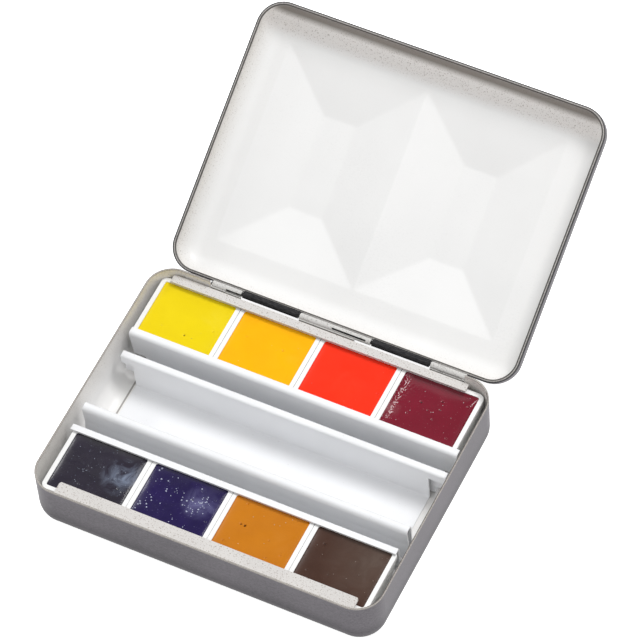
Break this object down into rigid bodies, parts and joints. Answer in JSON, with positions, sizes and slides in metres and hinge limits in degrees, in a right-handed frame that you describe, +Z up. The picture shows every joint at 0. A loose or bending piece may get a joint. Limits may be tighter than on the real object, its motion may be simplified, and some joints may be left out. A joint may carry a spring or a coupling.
{
  "type": "watercolor pan set",
  "caption": "Pocket tin of watercolour half pans: hinged lid with two mixing wells, folded insert with a brush channel between two rows of paint pans.",
  "frame": {"origin": "centre of the flat underside of the base tin", "axes": "+X along the rows of pans, +Y from the front wall towards the hinge and the open lid, +Z up"},
  "size_m": [0.085, 0.1238, 0.0431],
  "materials": {
    "tin_base": "satin lacquered tinplate outside, speckled white enamel inside",
    "enamel_lip": "off-white enamel with fine dark specks",
    "enamel_knuckle": "off-white enamel with fine dark specks, worn on the rolls",
    "pin_steel": "drawn steel wire",
    "insert_enamel": "smooth white enamel",
    "tin_lid": "smooth white enamel inside, satin tinplate outside",
    "bare_tin": "bare dark tinplate",
    "pan_plastic": "semi-gloss white moulded plastic",
    "paint_bright_yellow": "dry watercolour cake, satin",
    "paint_deep_yellow": "dry watercolour cake, satin",
    "paint_scarlet": "dry watercolour cake, satin",
    "paint_maroon": "dry watercolour cake with bubbles and a crackled edge",
    "paint_indigo": "dry watercolour cake, hazy",
    "paint_violet_blue": "dry watercolour cake with small bubbles",
    "paint_ochre": "dry watercolour cake with a few pits",
    "paint_dark_brown": "dry watercolour cake, hazy"
  },
  "bodies": {
    "base": {"base_shell": "tin_base", "back_lip": "enamel_lip", "front_lip": "enamel_lip", "base_knuckle_1": "enamel_knuckle", "base_knuckle_2": "enamel_knuckle", "base_knuckle_3": "enamel_knuckle", "hinge_pin": "pin_steel", "insert": "insert_enamel", "pan_1": "pan_plastic", "pan_2": "pan_plastic", "pan_3": "pan_plastic", "pan_4": "pan_plastic", "pan_5": "pan_plastic", "pan_6": "pan_plastic", "pan_7": "pan_plastic", "pan_8": "pan_plastic", "paint_1": "paint_bright_yellow", "paint_2": "paint_deep_yellow", "paint_3": "paint_scarlet", "paint_4": "paint_maroon", "paint_5": "paint_indigo", "paint_6": "paint_violet_blue", "paint_7": "paint_ochre", "paint_8": "paint_dark_brown"},
    "lid": {"lid_shell": "tin_lid", "lid_knuckle_1": "bare_tin", "lid_knuckle_2": "bare_tin"}
  },
  "joints": [
    {"name": "lid_hinge", "type": "hinge", "parent": "base", "child": "lid", "pos_m": [0, 0.03256, 0.01294], "axis": [1, 0, 0], "range_deg": [0, 150.6]}
  ]
}
